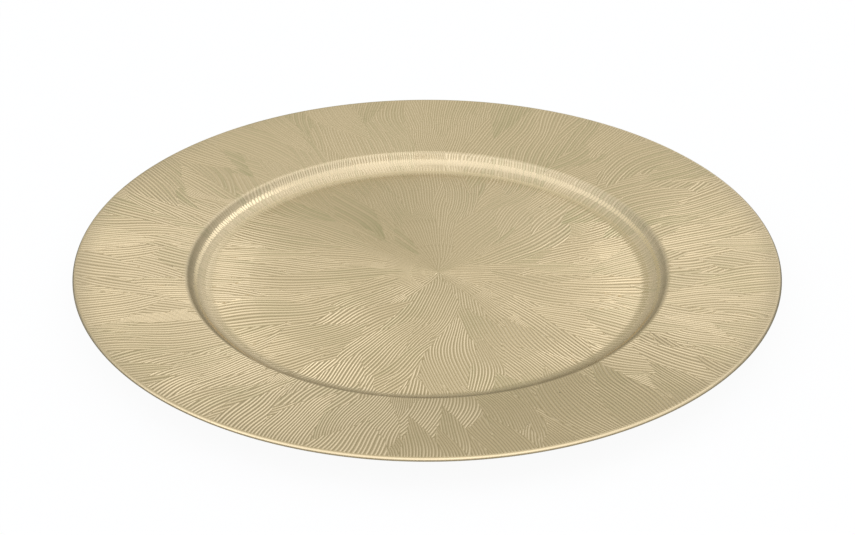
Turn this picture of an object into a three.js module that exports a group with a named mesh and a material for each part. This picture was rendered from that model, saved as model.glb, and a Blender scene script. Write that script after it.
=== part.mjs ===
// Charger plate: a shallow round show plate that stands under a dinner plate.
// Two bonded pieces: a moulded plastic blank with a foot ring, and the gold film that covers
// its face and rolls over its edge. Millimetres, +Z up, origin on the table under the centre.
import * as THREE from "three";

// Driving dimensions of the finished face
const RIM_DIAMETER = 330; // over the finished edge
const RIM_WIDTH = 52; // edge to the crest between the rim and the well, in plan
const WELL_DEPTH = 6.6; // well floor to crest
const WALL_ANGLE = 46; // degrees, steepest slope of the well wall
const RIM_RISE = 5.4; // crest to the top of the edge
const COVE_RADIUS = 16; // hollow sweep from the well floor into the wall
const CREST_RADIUS = 3.2; // rounding between the wall and the rim
const EDGE_RADIUS = 1.2; // rounding over the top of the edge

// Driving dimensions of the two layers
const FILM_THICKNESS = 0.3; // embossed gold film
const BLANK_THICKNESS = 1.4; // moulded wall under the film
const HEM_RADIUS = 0.3; // rounding under the edge of the blank

// Driving dimensions of the underside
const FOOT_INSET = 5.8; // edge of the flat floor to the middle of the foot ring
const FOOT_HEIGHT = 3.1; // underside of the floor to the table
const FOOT_FLAT = 2; // width that rests on the table
const FOOT_DRAFT = 12; // degrees, slope of each flank so that it leaves the mould
const GATE_DIAMETER = 14; // shallow dimple round the moulding gate
const GATE_DEPTH = 0.4;
const GATE_STUB_DIAMETER = 3; // trimmed stub of the gate, inside the dimple
const GATE_STUB_HEIGHT = 0.3;

// Largest share of its wall that a fillet may take
const COVE_SHARE = 0.9; // of the well wall below the crest's rounding
const EDGE_SHARE = 0.8; // of the thickness at the edge
const HEM_SHARE = 0.9; // of the thickness that the rounding over the edge leaves

// Smoothness of the facets
const TURN_STEPS = 96; // round the axis, a multiple of four
const CHORD_ERROR = 0.04; // furthest that a facet of a fillet lies from its arc

// Heights and radii that follow from the driving dimensions
const skinThickness = FILM_THICKNESS + BLANK_THICKNESS;
const floorZ = FOOT_HEIGHT + skinThickness;
const crestZ = floorZ + WELL_DEPTH;
const edgeZ = crestZ + RIM_RISE;
const edgeR = RIM_DIAMETER / 2;
const crestR = edgeR - RIM_WIDTH;
const wallSlope = THREE.MathUtils.degToRad(WALL_ANGLE);
const wallRun = WELL_DEPTH / Math.tan(wallSlope);
const rimSlope = Math.atan2(RIM_RISE, RIM_WIDTH);
const point = (r, z) => new THREE.Vector2(r, z);

// Length of a straight side that a fillet of a given radius takes up at a corner that turns by an angle
const tangentLength = (radius, turn) => radius * Math.tan(turn / 2);

// Fillets, each limited by the wall that it lies on: the cove by what the crest leaves of the well wall,
// and the two that share the edge by the thickness there
const crestTangent = tangentLength(CREST_RADIUS, wallSlope - rimSlope);
const coveRoom = COVE_SHARE * (Math.hypot(wallRun, WELL_DEPTH) - crestTangent);
const coveRadius = Math.min(COVE_RADIUS, coveRoom / tangentLength(1, wallSlope));
const edgeTurn = Math.PI / 2 + rimSlope;
const edgeRadius = Math.min(EDGE_RADIUS, (EDGE_SHARE * skinThickness) / tangentLength(1, edgeTurn));
const hemRoom = HEM_SHARE * (skinThickness - tangentLength(edgeRadius, edgeTurn));
const hemRadius = Math.min(HEM_RADIUS, hemRoom / tangentLength(1, Math.PI - edgeTurn));
const flatR = crestR - wallRun - tangentLength(coveRadius, wallSlope);
const footR = flatR - FOOT_INSET;

// The section of the face as sharp corners from the axis outwards, with the radius of each fillet.
// A hollow fillet has its centre above the face, and a rounded one below it.
const faceCorners = [
  { at: point(0, floorZ) },
  { at: point(crestR - wallRun, floorZ), fillet: coveRadius, hollow: true },
  { at: point(crestR, crestZ), fillet: CREST_RADIUS },
  { at: point(edgeR, edgeZ), fillet: edgeRadius },
  { at: point(edgeR, crestZ) },
];

// Where the line through a and b crosses the line through c and d.
function crossing(a, b, c, d) {
  const along = b.clone().sub(a);
  const other = d.clone().sub(c);
  const share = c.clone().sub(a).cross(other) / along.cross(other);
  return a.clone().addScaledVector(along, share);
}

// The face moved square into the material by depth, with each fillet about its old centre. A rounded
// fillet that is smaller than the depth becomes a sharp corner.
function sunkenFace(depth) {
  const sides = faceCorners.slice(1).map((corner, i) => {
    const from = faceCorners[i].at;
    const along = corner.at.clone().sub(from).normalize();
    const inward = point(along.y, -along.x).multiplyScalar(depth);
    return [from.clone().add(inward), corner.at.clone().add(inward)];
  });
  return faceCorners.map((corner, i) => {
    if (i === 0) return { at: sides[0][0] };
    if (i === sides.length) return { at: sides[i - 1][1] };
    const fillet = corner.hollow ? corner.fillet + depth : Math.max(corner.fillet - depth, 0);
    return { at: crossing(...sides[i - 1], ...sides[i]), fillet };
  });
}

// Points along the straight sides and filleted corners of a section.
function filleted(corners) {
  return corners.flatMap(({ at, fillet }, i) => {
    if (!fillet) return [at];
    const into = at.clone().sub(corners[i - 1].at).normalize();
    const away = corners[i + 1].at.clone().sub(at).normalize();
    const turn = Math.atan2(into.cross(away), into.dot(away));
    const start = at.clone().addScaledVector(into, -tangentLength(fillet, Math.abs(turn)));
    const side = point(-into.y, into.x).multiplyScalar(Math.sign(turn) * fillet);
    const centre = start.clone().add(side);
    const step = 2 * Math.acos(1 - Math.min(CHORD_ERROR / fillet, 1));
    const steps = Math.max(2, Math.ceil(Math.abs(turn) / step));
    return Array.from({ length: steps + 1 }, (_, k) =>
      start.clone().rotateAround(centre, (turn * k) / steps),
    );
  });
}

// A solid of revolution about +Z from a section that starts at the bottom of the axis.
function turned(points) {
  return new THREE.LatheGeometry(points, TURN_STEPS).rotateX(Math.PI / 2);
}

// A named piece with its finish.
function piece(name, geometry, finish) {
  const mesh = new THREE.Mesh(geometry, new THREE.MeshStandardMaterial(finish));
  mesh.name = name;
  return mesh;
}

// The two sides of the film, from the axis to the end of the rounded edge, and the blank's underside.
const filmFront = filleted(faceCorners).slice(0, -1);
const filmBack = filleted(sunkenFace(FILM_THICKNESS)).slice(0, -1);
const underFace = sunkenFace(skinThickness);

// The corner under the bare edge of the blank.
const hemR = edgeR - FILM_THICKNESS;
const hemCorner = crossing(underFace[2].at, underFace[3].at, point(hemR, 0), point(hemR, edgeZ));

// Gold film: covers the face, rolls over the edge and ends below its rounding.
function goldFilm() {
  const outline = [...filmBack, ...filmFront.toReversed()];
  return piece("gold_film", turned(outline), { color: 0xcdb887, roughness: 0.35, metalness: 1 });
}

// Gate mark: a dimple in the underside of the floor, with the trimmed stub of the gate in it.
function gateMark() {
  const dimpleZ = FOOT_HEIGHT + GATE_DEPTH;
  const stubZ = dimpleZ - GATE_STUB_HEIGHT;
  return [
    point(0, stubZ),
    point(GATE_STUB_DIAMETER / 2, stubZ),
    point(GATE_STUB_DIAMETER / 2, dimpleZ),
    point(GATE_DIAMETER / 2 - GATE_DEPTH, dimpleZ),
    point(GATE_DIAMETER / 2, FOOT_HEIGHT),
  ];
}

// Foot ring: a drafted ring under the floor, from its inner flank to its outer one.
function footRing() {
  const spread = FOOT_HEIGHT * Math.tan(THREE.MathUtils.degToRad(FOOT_DRAFT));
  const half = FOOT_FLAT / 2;
  return [
    point(footR - half - spread, FOOT_HEIGHT),
    point(footR - half, 0),
    point(footR + half, 0),
    point(footR + half + spread, FOOT_HEIGHT),
  ];
}

// Plate blank: the underside from the gate mark to the edge, then the film's back as its upper side.
function plateBlank() {
  const foot = footRing();
  const upper = filmBack.toReversed();
  const rim = filleted([
    { at: foot.at(-1) },
    underFace[1],
    underFace[2],
    { at: hemCorner, fillet: hemRadius },
    { at: upper[0] },
  ]);
  const outline = [...gateMark(), ...foot, ...rim.slice(1, -1), ...upper];
  return piece("plate_blank", turned(outline), { color: 0x6f6a60, roughness: 0.6, metalness: 0 });
}

const chargerPlate = new THREE.Group();
chargerPlate.name = "charger_plate";
chargerPlate.add(plateBlank(), goldFilm());

export default chargerPlate;
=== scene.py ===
"""Charger plate in champagne gold: a combed metallic film over a moulded blank, shown in a plain studio.

All sizes are in metres. The plate stands on the floor at z = 0, with its axis on +Z.
"""
import logging
import math
from dataclasses import dataclass, field
from enum import Enum
from typing import Any, Iterable, Sequence

import bpy
import numpy as np
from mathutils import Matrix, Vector


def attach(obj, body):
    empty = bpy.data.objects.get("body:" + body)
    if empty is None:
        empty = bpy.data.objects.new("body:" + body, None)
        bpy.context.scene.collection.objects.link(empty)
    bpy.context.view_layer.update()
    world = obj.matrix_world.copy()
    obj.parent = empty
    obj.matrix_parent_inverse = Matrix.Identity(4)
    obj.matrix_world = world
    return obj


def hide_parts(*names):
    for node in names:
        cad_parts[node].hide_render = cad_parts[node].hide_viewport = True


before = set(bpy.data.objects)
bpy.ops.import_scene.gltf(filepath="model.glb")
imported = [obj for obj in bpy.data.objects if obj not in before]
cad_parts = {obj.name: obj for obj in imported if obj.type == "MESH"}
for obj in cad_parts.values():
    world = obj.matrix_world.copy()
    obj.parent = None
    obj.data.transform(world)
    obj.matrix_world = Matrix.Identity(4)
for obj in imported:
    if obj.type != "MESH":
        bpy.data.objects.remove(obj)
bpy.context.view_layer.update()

MM = 0.001
TURN = 2 * math.pi
BODY = "root"
BAKE_UV = "OFBake"
LOG = logging.getLogger("charger_plate")

Array = np.ndarray
Pair = tuple[float, float]
Triple = tuple[float, float, float]
Colour = Triple
Socket = bpy.types.NodeSocket

ALONG_X: Triple = (1.0, 0.0, 0.0)
NOTHING: Triple = (0.0, 0.0, 0.0)


class StrokeKind(Enum):
    """How the comb ran inside one stroke of the pattern."""

    LOCK = "lines run side by side from tip to tip"
    LOOP = "lines run out along one side, turn round the outer end and come back"


@dataclass(frozen=True)
class Corner:
    """A corner of a section: its place, and the radius of the fillet that rounds it."""

    radius: float
    height: float
    fillet: float = 0.0


def smooth_step(share: Array) -> Array:
    """Eases a share from 0 to 1, flat at both ends.

    Args:
        share: Values that are held between 0 and 1.

    Returns:
        The eased values.
    """
    held = np.clip(share, 0.0, 1.0)
    return held * held * (3 - 2 * held)


def crossing(a: Array, b: Array, c: Array, d: Array) -> Array:
    """Finds where the line through a and b crosses the line through c and d.

    Args:
        a: A point of the first line.
        b: Another point of the first line.
        c: A point of the second line.
        d: Another point of the second line.

    Returns:
        The crossing point.
    """
    along, other, between = b - a, d - c, c - a
    share = (between[0] * other[1] - between[1] * other[0]) / (along[0] * other[1] - along[1] * other[0])
    return a + share * along


def rounded(
    before: Array, at: Array, after: Array, fillet: float, gap: float, turn_step: float
) -> list[Array]:
    """Samples one corner of a section round its fillet.

    Args:
        before: The corner before it.
        at: The corner.
        after: The corner after it.
        fillet: Radius of the fillet, or 0 for a sharp corner.
        gap: Longest distance between samples.
        turn_step: Largest angle between samples, in radians.

    Returns:
        Points from one end of the fillet to the other, or the corner itself.
    """
    if not fillet:
        return [at]
    into = (at - before) / np.linalg.norm(at - before)
    away = (after - at) / np.linalg.norm(after - at)
    turn = math.atan2(into[0] * away[1] - into[1] * away[0], float(into @ away))
    start = at - into * fillet * math.tan(abs(turn) / 2)
    side = np.array([-into[1], into[0]]) * math.copysign(fillet, turn)
    steps = max(1, math.ceil(max(abs(turn) / turn_step, abs(turn) * fillet / gap)))
    points = []
    for k in range(steps + 1):
        angle = turn * k / steps
        spin = np.array([[math.cos(angle), -math.sin(angle)], [math.sin(angle), math.cos(angle)]])
        points.append(start + side - spin @ side)
    return points


def filleted(corners: Sequence[Corner], gap: float, turn_step: float) -> list[Pair]:
    """Samples a section along its straight sides and round its fillets.

    Args:
        corners: The corners in order. The first and the last have no fillet.
        gap: Longest distance between samples.
        turn_step: Largest angle between samples on a fillet, in radians.

    Returns:
        Pairs of radius and height.
    """
    points = [np.array([corner.radius, corner.height]) for corner in corners]
    stops: list[Array] = [points[0]]
    for i in range(1, len(corners) - 1):
        stops += rounded(*points[i - 1 : i + 2], corners[i].fillet, gap, turn_step)
    stops.append(points[-1])
    samples: list[Pair] = []
    for here, there in zip(stops, stops[1:]):
        steps = max(1, math.ceil(np.linalg.norm(there - here) / gap))
        samples += [tuple(here + (there - here) * k / steps) for k in range(steps)]
    return [*samples, tuple(stops[-1])]


@dataclass(frozen=True)
class PlateSection:
    """Sizes of the plate's section, the same as in the CAD solids."""

    rim_radius: float = 165 * MM
    rim_width: float = 52 * MM
    rim_rise: float = 5.4 * MM
    well_depth: float = 6.6 * MM
    wall_angle: float = math.radians(46)
    cove_radius: float = 16 * MM
    crest_fillet: float = 3.2 * MM
    edge_fillet: float = 1.2 * MM
    film: float = 0.3 * MM
    blank: float = 1.4 * MM
    hem_fillet: float = 0.3 * MM
    foot_height: float = 3.1 * MM

    @property
    def floor_height(self) -> float:
        """Height of the well floor."""
        return self.foot_height + self.film + self.blank

    @property
    def crest(self) -> Array:
        """The sharp corner between the well wall and the rim."""
        return np.array([self.rim_radius - self.rim_width, self.floor_height + self.well_depth])

    @property
    def edge(self) -> Array:
        """The sharp corner at the top of the edge."""
        return np.array([self.rim_radius, self.crest[1] + self.rim_rise])

    @property
    def floor_corner(self) -> Array:
        """The sharp corner between the well floor and the wall."""
        run = self.well_depth / math.tan(self.wall_angle)
        return np.array([self.crest[0] - run, self.floor_height])

    @property
    def floor_radius(self) -> float:
        """Radius of the flat part of the well floor."""
        return float(self.floor_corner[0]) - self.cove_radius * math.tan(self.wall_angle / 2)

    @property
    def film_end(self) -> float:
        """Height of the end of the edge's rounding, where the film stops."""
        slope = math.atan2(self.rim_rise, self.rim_width)
        return float(self.edge[1]) - self.edge_fillet * math.tan((math.pi / 2 + slope) / 2)

    def face(self, depth: float) -> list[Corner]:
        """The face sunk square into the plate by a depth, from the axis to the edge.

        Args:
            depth: Distance below the finished face.

        Returns:
            The corners, with each fillet about its old centre. The last one is below the edge.
        """
        foot = np.array([self.rim_radius, self.crest[1]])
        line = [np.array([0.0, self.floor_height]), self.floor_corner, self.crest, self.edge, foot]
        sunk = []
        for here, there in zip(line, line[1:]):
            along = (there - here) / np.linalg.norm(there - here)
            inward = np.array([along[1], -along[0]]) * depth
            sunk.append((here + inward, there + inward))
        meets = [crossing(*before, *after) for before, after in zip(sunk, sunk[1:])]
        fillets = (self.cove_radius + depth, self.crest_fillet - depth, max(self.edge_fillet - depth, 0.0))
        middle = [Corner(*point, fillet) for point, fillet in zip(meets, fillets)]
        return [Corner(*sunk[0][0]), *middle, Corner(*sunk[-1][1])]

    def film_side(self, depth: float) -> list[Corner]:
        """One side of the film, from the axis to where the film stops.

        Args:
            depth: Distance of that side below the finished face.

        Returns:
            The corners.
        """
        *inner, last = self.face(depth)
        return [*inner, Corner(last.radius, self.film_end)]

    def hem(self) -> Corner:
        """The corner under the bare edge of the blank, rounded by the hem.

        Returns:
            The corner.
        """
        under = self.face(self.film + self.blank)
        inner, outer = (np.array([corner.radius, corner.height]) for corner in under[2:4])
        radius = self.rim_radius - self.film
        at = crossing(inner, outer, np.array([radius, 0.0]), np.array([radius, self.edge[1]]))
        return Corner(float(at[0]), float(at[1]), self.hem_fillet)


@dataclass(frozen=True)
class Wander:
    """A smooth wandering value over the face: plane waves in random directions, added up."""

    seed: int
    shortest: float
    longest: float
    waves: int = 10

    def at(self, x: Array, y: Array) -> Array:
        """Evaluates the wandering value.

        Args:
            x: Places along +X.
            y: Places along +Y.

        Returns:
            Values of about -1 to 1.
        """
        draw = np.random.default_rng(self.seed)
        total = np.zeros_like(x)
        for _ in range(self.waves):
            heading = draw.uniform(0, TURN)
            wave = TURN / draw.uniform(self.shortest, self.longest)
            start = draw.uniform(0, TURN)
            total += np.sin(wave * (x * math.cos(heading) + y * math.sin(heading)) + start)
        return total * math.sqrt(2 / self.waves) / 2


@dataclass(frozen=True)
class Stroke:
    """One stroke of the comb: a leaf-shaped patch of lines that leans away from the ray it starts on.

    Attributes:
        kind: How the lines run in it.
        start: Distance of its inner tip from the burst's centre.
        bearing: Angle of that tip round the centre.
        length: How far it reaches along its ray.
        width: Its width where it is widest.
        lean_in: Slope of the lines to the ray at the inner tip.
        lean_out: The same at the outer tip.
        pitch: Distance between lines.
        phase: Place of the first line, as a share of the pitch.
        tone: From -1, the greenest, to 1, the rosiest.
    """

    kind: StrokeKind
    start: float
    bearing: float
    length: float
    width: float
    lean_in: float
    lean_out: float
    pitch: float
    phase: float
    tone: float


@dataclass
class CombedFace:
    """Points of the face, with what the comb has left at each.

    Attributes:
        reach: Distances from the burst's centre.
        bearing: Angles round it.
        wander: How far the lines stray sideways.
        wave: Places across a line as complex numbers, whose angle is 0 on a ridge and half a turn in a
            groove.
        tone: Tones of the strokes.
        heading: Headings of the lines in plan.
    """

    reach: Array
    bearing: Array
    wander: Array
    wave: Array
    tone: Array
    heading: Array

    def picked(self, which: Array | slice) -> "CombedFace":
        """Some of the points. A slice shares its values with this face."""
        return CombedFace(*(values[which] for values in vars(self).values()))

    def between(self, start: float, end: float) -> "CombedFace":
        """The points from one reach to another, where the points are in order of reach."""
        return self.picked(slice(*np.searchsorted(self.reach, [start, end])))


@dataclass(frozen=True)
class CombedLines:
    """How the lines run, end and shade inside a stroke.

    Attributes:
        squeeze: Share by which the lines close up at the tips.
        tip_power: Above 1, the stroke is widest in its outer half.
        loop_turn: Share of the length at which the lines of a loop begin to turn.
        loop_stray: Share of the straying that a loop keeps.
        jitter: Unevenness of the spacing, as a share of the pitch.
        jitter_rate: How fast that changes from line to line.
        line_chance: Turns the number of a line into its own chance.
        stroke_chance: The same for a stroke's phase.
        ragged: Share of the length by which lines end early or late.
        seam: Width over which a stroke's border blends into what lies under it.
        tone_fall: How far the tone falls from the inner tip to the outer one, as a multiple of it.
        tone_slant: How far it changes from side to side.
        line_spread: How far it changes from line to line.
    """

    squeeze: float = 0.2
    tip_power: float = 1.2
    loop_turn: float = 0.62
    loop_stray: float = 0.3
    jitter: float = 0.08
    jitter_rate: float = 1.7
    line_chance: float = 2.4
    stroke_chance: float = 9.0
    ragged: float = 0.01
    seam: float = 0.6 * MM
    tone_fall: float = 1.5
    tone_slant: float = 0.5
    line_spread: float = 0.4

    def lay(self, stroke: Stroke, face: CombedFace) -> None:
        """Lays one stroke over what is there.

        Args:
            stroke: The stroke.
            face: The points between its ends, whose wave, tone and heading are changed in place.
        """
        along = (face.reach - stroke.start) / stroke.length
        slope = stroke.lean_in + (stroke.lean_out - stroke.lean_in) * along
        drift = stroke.length * along * (stroke.lean_in + slope) / 2
        turn = (face.bearing - stroke.bearing + math.pi) % TURN - math.pi
        across = (face.reach * turn - drift) / np.hypot(1.0, slope)
        hit = np.flatnonzero(np.abs(across) < 0.5 * stroke.width)
        along, across, stray = along[hit], across[hit], face.wander[hit]
        heading = face.bearing[hit] + np.arctan(slope[hit] - turn[hit])
        side = across + stray
        gap = stroke.pitch * (1 - self.squeeze + self.squeeze * self._outline(along))
        if stroke.kind is StrokeKind.LOOP:
            past = np.maximum(along - self.loop_turn, 0) * stroke.length
            side = np.hypot(across, past) + self.loop_stray * stray
            gap = stroke.pitch
            heading = heading - np.arctan2(past, across)
        phase = side / gap + stroke.phase
        phase = phase + self.jitter * np.sin(self.jitter_rate * phase + TURN * stroke.phase)
        chance = np.sin(self.line_chance * np.round(phase) + self.stroke_chance * stroke.phase)
        inside = 0.5 * stroke.width * self._outline(along + self.ragged * chance) - np.abs(across)
        cover = smooth_step(inside / self.seam)
        shade = stroke.tone * (1 - self.tone_fall * along) + self.tone_slant * across / stroke.width
        shade += self.line_spread * chance
        face.wave[hit] += (np.exp(1j * TURN * phase) - face.wave[hit]) * cover
        face.tone[hit] += (shade - face.tone[hit]) * cover
        face.heading[hit] = np.where(cover > 0.5, heading, face.heading[hit])

    def _outline(self, along: Array) -> Array:
        """Share of a stroke's full width, from its inner tip, at 0, to its outer one, at 1."""
        return np.sin(math.pi * np.clip(along, 0.0, 1.0) ** self.tip_power)


@dataclass(frozen=True)
class CombedPattern:
    """Combed lines that burst from one point of the well and run in overlapping strokes to the edge.

    Attributes:
        seed: Seed of every random draw.
        lines: How the lines run inside a stroke.
        pitch: Distance between lines that run to or from the viewer.
        side_pitch: Distance between lines that run sideways.
        pitch_spread: How far the distance differs from stroke to stroke, as a share.
        first_tier: Distance of the first tier of strokes from the burst's centre.
        tier_step: Distance between tiers.
        tiers: How many tiers there are.
        tier_jitter: How far a stroke may start from its tier, as a share of the step.
        place_jitter: How far it may start from its place in the tier, as a share of the gap.
        least_start: Distance from the centre that every stroke keeps.
        shuffle: How far the order of the strokes may differ from the order of their tips.
        stroke_gap: Distance between the places of a tier.
        shortest: Least length of a stroke.
        longest: Greatest length.
        narrowest: Least width.
        widest: Greatest width.
        lean: Usual angle between the lines and their ray.
        own_lean: Part of it that each stroke has of its own.
        shared_lean: Part that the strokes of a neighbourhood share.
        lean_return: Part that the outer end takes back.
        lean_waves: Shortest and longest wave of the shared part.
        most_lean: Greatest angle.
        sweep: Angle by which the strokes lean together on one side of the plate.
        sweep_bearing: Where that side is.
        loop_share: Share of the strokes that are loops, where loops lie.
        loop_start: Least distance of a loop from the centre.
        loop_side: Sine of the bearing below which loops lie, which is the near side.
        bare_radius: Radius of the smooth spot at the centre.
        ground_lines: How many rays leave that spot.
        doubling_start: Share of a doubling at which new rays come in between the rays.
        doubling_width: Share of it over which they come in.
        wobble: How far lines stray sideways.
        wobble_waves: Shortest and longest wave of the straying.
    """

    seed: int = 11
    lines: CombedLines = CombedLines()
    pitch: float = 1.2 * MM
    side_pitch: float = 2.2 * MM
    pitch_spread: float = 0.1
    first_tier: float = 9 * MM
    tier_step: float = 18 * MM
    tiers: int = 8
    tier_jitter: float = 0.6
    place_jitter: float = 0.5
    least_start: float = 2 * MM
    shuffle: float = 34 * MM
    stroke_gap: float = 22 * MM
    shortest: float = 55 * MM
    longest: float = 105 * MM
    narrowest: float = 16 * MM
    widest: float = 40 * MM
    lean: float = math.radians(25)
    own_lean: float = 0.7
    shared_lean: float = 1.1
    lean_return: float = 0.5
    lean_waves: Pair = (70 * MM, 160 * MM)
    most_lean: float = math.radians(36)
    sweep: float = math.radians(-13)
    sweep_bearing: float = math.radians(232)
    loop_share: float = 0.12
    loop_start: float = 90 * MM
    loop_side: float = -0.5
    bare_radius: float = 2.5 * MM
    ground_lines: int = 12
    doubling_start: float = 0.3
    doubling_width: float = 0.4
    wobble: float = 2.0 * MM
    wobble_waves: Pair = (34 * MM, 90 * MM)

    def strokes(self) -> list[Stroke]:
        """Draws the strokes, tier by tier, and sorts them so that outer ones mostly lie on inner ones.

        Returns:
            The strokes, the lowest first.
        """
        draw = np.random.default_rng(self.seed)
        shared = Wander(self.seed + 1, *self.lean_waves)
        made: list[Stroke] = []
        for tier in range(self.tiers):
            start = self.first_tier + tier * self.tier_step
            count = round(TURN * (start + self.shortest / 2) / self.stroke_gap)
            for i in range(count):
                made.append(self._stroke(draw, shared, start, TURN * i / count, TURN / count))
        return sorted(made, key=lambda stroke: stroke.start + self.shuffle * draw.uniform(-1, 1))

    def _stroke(
        self, draw: np.random.Generator, shared: Wander, start: float, bearing: float, gap: float
    ) -> Stroke:
        """Draws one stroke near a place of its tier.

        Args:
            draw: The random generator.
            shared: How the strokes of a neighbourhood lean together.
            start: Distance of the tier from the centre.
            bearing: Angle of the place round the centre.
            gap: Angle between two places of the tier.

        Returns:
            The stroke.
        """
        jitter = draw.uniform(-self.tier_jitter, self.tier_jitter)
        start = max(start + jitter * self.tier_step, self.least_start)
        bearing += draw.uniform(-self.place_jitter, self.place_jitter) * gap
        place = np.array([start + self.shortest / 2])
        common = float(shared.at(place * math.cos(bearing), place * math.sin(bearing))[0])
        swept = self.sweep * max(math.cos(bearing - self.sweep_bearing), 0.0)
        lean_in = self.lean * (self.own_lean * draw.normal() + self.shared_lean * common)
        lean_out = self.lean * draw.normal() - self.lean_return * lean_in + swept
        lean_in, lean_out = np.clip([lean_in + swept, lean_out], -self.most_lean, self.most_lean)
        course = bearing + 0.5 * (lean_in + lean_out)
        pitch = self.pitch + (self.side_pitch - self.pitch) * abs(math.cos(course))
        may_loop = start > self.loop_start and math.sin(bearing) < self.loop_side
        loops = may_loop and draw.random() < self.loop_share
        return Stroke(
            kind=StrokeKind.LOOP if loops else StrokeKind.LOCK,
            start=start,
            bearing=bearing,
            length=draw.uniform(self.shortest, self.longest),
            width=draw.uniform(self.narrowest, self.widest),
            lean_in=math.tan(lean_in),
            lean_out=math.tan(lean_out),
            pitch=pitch * (1 + self.pitch_spread * draw.uniform(-1, 1)),
            phase=draw.uniform(0, 1),
            tone=draw.uniform(-1, 1),
        )

    def comb(self, reach: Array, bearing: Array, x: Array, y: Array) -> CombedFace:
        """Combs the whole face.

        Args:
            reach: Distances from the burst's centre.
            bearing: Angles round it.
            x: Places along +X.
            y: Places along +Y.

        Returns:
            The points in the order that they were given in, with the combed lines at each.
        """
        order = np.argsort(reach, kind="stable")
        stray = self.wobble * Wander(self.seed + 2, *self.wobble_waves).at(x[order], y[order])
        face = self._ground(reach[order], bearing[order], stray)
        for stroke in self.strokes():
            self.lines.lay(stroke, face.between(stroke.start, stroke.start + stroke.length))
        back = np.empty_like(order)
        back[order] = np.arange(len(order))
        return face.picked(back)

    def _ground(self, reach: Array, bearing: Array, stray: Array) -> CombedFace:
        """Rays under the strokes, whose count doubles as they spread.

        Args:
            reach: Distances from the burst's centre, in order.
            bearing: Angles round it.
            stray: How far the lines stray sideways.

        Returns:
            The points with the rays at each.
        """
        level = np.log2(np.maximum(TURN * reach / (self.pitch * self.ground_lines), 1.0))
        below = np.floor(level)
        straying = bearing + stray / np.maximum(reach, self.bare_radius)
        few = np.exp(1j * self.ground_lines * 2**below * straying)
        share = smooth_step((level - below - self.doubling_start) / self.doubling_width)
        wave = few + (few**2 - few) * share
        return CombedFace(reach, bearing, stray, wave, np.zeros(len(reach)), bearing.copy())


@dataclass
class RingSheet:
    """A mesh of rings round +Z. A ring has as many points as the last one, twice as many, half or one."""

    vertices: list[Array] = field(default_factory=list)
    counts: list[int] = field(default_factory=list)
    radii: list[float] = field(default_factory=list)

    def add(self, radius: float, height: float, count: int, centre: Pair = (0.0, 0.0)) -> None:
        """Adds a ring.

        Args:
            radius: Radius of the ring. At 0 it is a single point.
            height: Its height.
            count: How many points it has.
            centre: Its middle in plan.
        """
        count = count if radius > 0 else 1
        angle = TURN * np.arange(count) / count
        ring = np.stack([radius * np.cos(angle), radius * np.sin(angle), np.full(count, height)], 1)
        ring[:, :2] += centre
        self.vertices.append(ring)
        self.counts.append(count)
        self.radii.append(radius)

    def angles(self) -> Array:
        """Angle of each point round its ring."""
        return np.concatenate([TURN * np.arange(count) / count for count in self.counts])

    def per_point(self, values: Iterable[float]) -> Array:
        """One value of each ring, repeated for its points."""
        return np.repeat(np.fromiter(values, float), self.counts)

    def faces(self) -> list[Array]:
        """Joins each ring to the next.

        Returns:
            Blocks of faces, each an array of one row of vertex numbers for a face.
        """
        starts = np.concatenate([[0], np.cumsum(self.counts)])
        blocks = []
        for i, (here, there) in enumerate(zip(self.counts, self.counts[1:])):
            blocks += self._joined(starts[i], here, starts[i + 1], there)
        return blocks

    @staticmethod
    def _joined(a: int, here: int, b: int, there: int) -> list[Array]:
        """Faces between two rings.

        Args:
            a: First vertex of the inner ring.
            here: Its count.
            b: First vertex of the outer ring.
            there: Its count.

        Returns:
            Blocks of faces that face up where the second ring is the wider one.
        """
        k = np.arange(max(here, there))
        if here == 1:
            return [np.stack([np.full_like(k, a), b + k, b + (k + 1) % there], 1)]
        if there == 1:
            return [np.stack([a + k, np.full_like(k, b), a + (k + 1) % here], 1)]
        if here == there:
            return [np.stack([a + k, b + k, b + (k + 1) % there, a + (k + 1) % here], 1)]
        k = np.arange(min(here, there))
        nxt = (k + 1) % len(k)
        if there == 2 * here:
            return [
                np.stack([a + k, b + 2 * k, b + 2 * k + 1], 1),
                np.stack([a + k, b + 2 * k + 1, a + nxt], 1),
                np.stack([a + nxt, b + 2 * k + 1, b + 2 * nxt], 1),
            ]
        return [
            np.stack([a + 2 * k, b + k, a + 2 * k + 1], 1),
            np.stack([a + 2 * k + 1, b + k, b + nxt], 1),
            np.stack([a + 2 * k + 1, b + nxt, a + 2 * nxt], 1),
        ]


def mesh_object(name: str, vertices: Array, blocks: Sequence[Array], sharp: float) -> bpy.types.Object:
    """Makes a smooth-shaded mesh object from arrays.

    Args:
        name: Name of the piece.
        vertices: One row for each vertex.
        blocks: Blocks of faces with one row of vertex numbers each.
        sharp: Angle above which an edge is shaded sharp.

    Returns:
        The object, linked to the scene.
    """
    mesh = bpy.data.meshes.new(name)
    sizes = np.concatenate([np.full(len(block), block.shape[1]) for block in blocks])
    loops = np.concatenate([block.ravel() for block in blocks])
    mesh.vertices.add(len(vertices))
    mesh.vertices.foreach_set("co", vertices.astype(np.float32).ravel())
    mesh.loops.add(len(loops))
    mesh.loops.foreach_set("vertex_index", loops.astype(np.int32))
    mesh.polygons.add(len(sizes))
    mesh.polygons.foreach_set("loop_start", (np.cumsum(sizes) - sizes).astype(np.int32))
    mesh.polygons.foreach_set("loop_total", sizes.astype(np.int32))
    mesh.update(calc_edges=True)
    mesh.validate()
    mesh.shade_smooth()
    mesh.set_sharp_from_angle(angle=sharp)
    made = bpy.data.objects.new(name, mesh)
    bpy.context.scene.collection.objects.link(made)
    return made


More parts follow.
